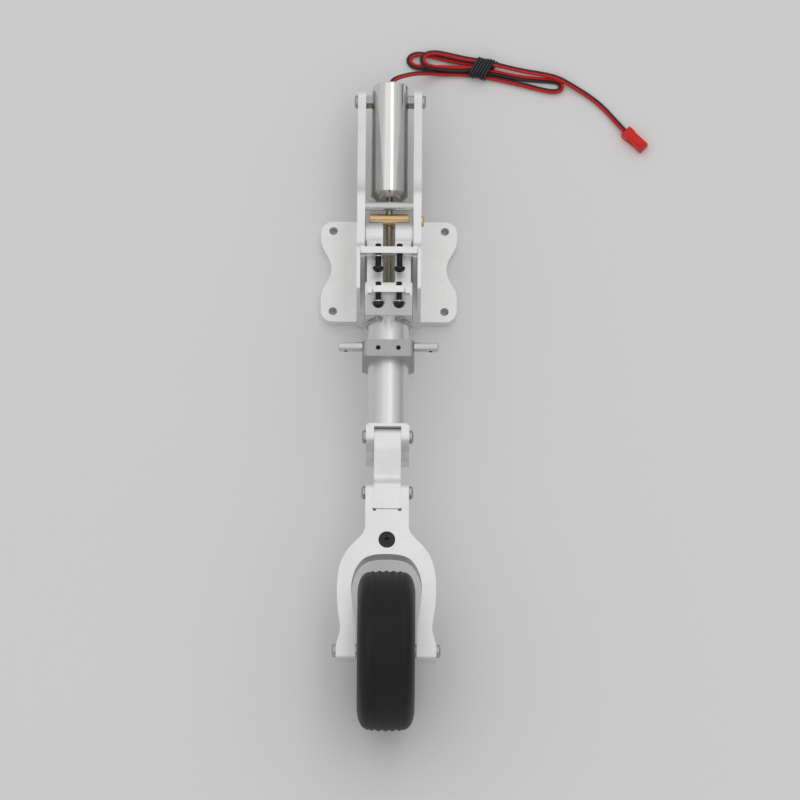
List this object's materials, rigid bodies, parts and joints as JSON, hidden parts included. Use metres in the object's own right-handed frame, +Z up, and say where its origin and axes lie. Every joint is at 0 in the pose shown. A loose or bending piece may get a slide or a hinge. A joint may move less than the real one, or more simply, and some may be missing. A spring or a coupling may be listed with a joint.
{
  "type": "retractable nose landing gear strut",
  "caption": "Electric retracting nose leg for a large model aircraft: screw-driven trunnion, steerable strut tube, trailing link fork and ribbed wheel",
  "frame": {"origin": "centre of the four mounting holes, on the underside of the flanges", "axes": "+X across the unit, +Y towards the motor end, +Z up from the mounting face"},
  "size_m": [0.1334, 0.3043, 0.065],
  "materials": {
    "anodised": "bead-blasted clear anodised",
    "tube_alloy": "satin turned",
    "motor_steel": "polished can",
    "bright_steel": "ground and polished",
    "collar_grey": "titanium-grey anodised",
    "black_oxide": "black oxide on steel",
    "screw_steel": "plated steel",
    "nut_brass": "turned brass",
    "rubber_tyre": "ribbed black rubber",
    "hub_alloy": "turned alloy",
    "lead_wire": "red and black insulation",
    "tie_plastic": "black wrap",
    "plug_plastic": "red moulded"
  },
  "bodies": {
    "frame": {"side_frame_right": "anodised", "side_frame_left": "anodised", "motor_end_cap": "motor_steel", "motor_can": "motor_steel", "motor_gearbox": "motor_steel", "motor_spacers": "screw_steel", "motor_screws": "screw_steel", "cross_rod": "bright_steel", "trunnion_pivots": "screw_steel", "lead_run": "lead_wire", "lead_hank": "lead_wire", "lead_tail": "lead_wire", "lead_tie": "tie_plastic", "lead_plug": "plug_plastic"},
    "lead_screw": {"lead_screw": "screw_steel"},
    "barrel_nut": {"barrel_nut": "nut_brass"},
    "trunnion": {"trunnion": "anodised", "bridge_screws": "black_oxide", "ledge_screws": "black_oxide", "screw_rings": "screw_steel", "tube_keeper_screw": "black_oxide"},
    "leg": {"strut_tube": "tube_alloy", "steering_collar": "collar_grey", "collar_grub_screws": "black_oxide", "steering_pins": "bright_steel", "snap_ring": "screw_steel", "knuckle": "anodised", "knuckle_pin": "bright_steel", "knuckle_pin_screws": "screw_steel", "plunger_spring": "screw_steel", "spring_seat": "anodised"},
    "plunger": {"plunger": "bright_steel"},
    "trailing_arm": {"link": "anodised", "fork": "anodised", "crown_screw": "black_oxide", "fork_pin": "bright_steel", "fork_pin_screws": "screw_steel", "axle": "bright_steel", "axle_screws": "screw_steel", "axle_bushes": "screw_steel"},
    "wheel": {"tyre": "rubber_tyre", "wheel_hub": "hub_alloy", "wheel_bearings": "bright_steel"}
  },
  "joints": [
    {"name": "retract", "type": "hinge", "parent": "frame", "child": "trunnion", "pos_m": [0, 0.0035, 0.034], "axis": [-1, 0, 0], "range_deg": [0, 90]},
    {"name": "nut_travel", "type": "slide", "parent": "frame", "child": "barrel_nut", "axis": [0, -1, 0], "range_m": [0, 0.0241]},
    {"name": "screw_spin", "type": "hinge", "parent": "frame", "child": "lead_screw", "pos_m": [0, 0, 0.022], "axis": [0, 1, 0], "continuous": true},
    {"name": "steering", "type": "hinge", "parent": "trunnion", "child": "leg", "pos_m": [0, -0.05, 0.03], "axis": [0, 1, 0], "range_deg": [-30, 30]},
    {"name": "trailing_link", "type": "hinge", "parent": "leg", "child": "trailing_arm", "pos_m": [0, -0.0834, 0.0365], "axis": [1, 0, 0], "range_deg": [0, 18], "stiffness_Nm_per_rad": 2},
    {"name": "plunger_travel", "type": "slide", "parent": "leg", "child": "plunger", "axis": [0, 1, 0], "range_m": [0, 0.0021], "deforming": ["plunger_spring"]},
    {"name": "wheel_spin", "type": "hinge", "parent": "trailing_arm", "child": "wheel", "pos_m": [0, -0.1737, 0.0325], "axis": [1, 0, 0], "continuous": true}
  ],
  "couplings": [
    {"joint": "nut_travel", "follows": "retract", "m_per_rad": 0.015279},
    {"joint": "screw_spin", "follows": "retract", "ratio": 137.14},
    {"joint": "plunger_travel", "follows": "trailing_link", "m_per_rad": 0.0065}
  ]
}
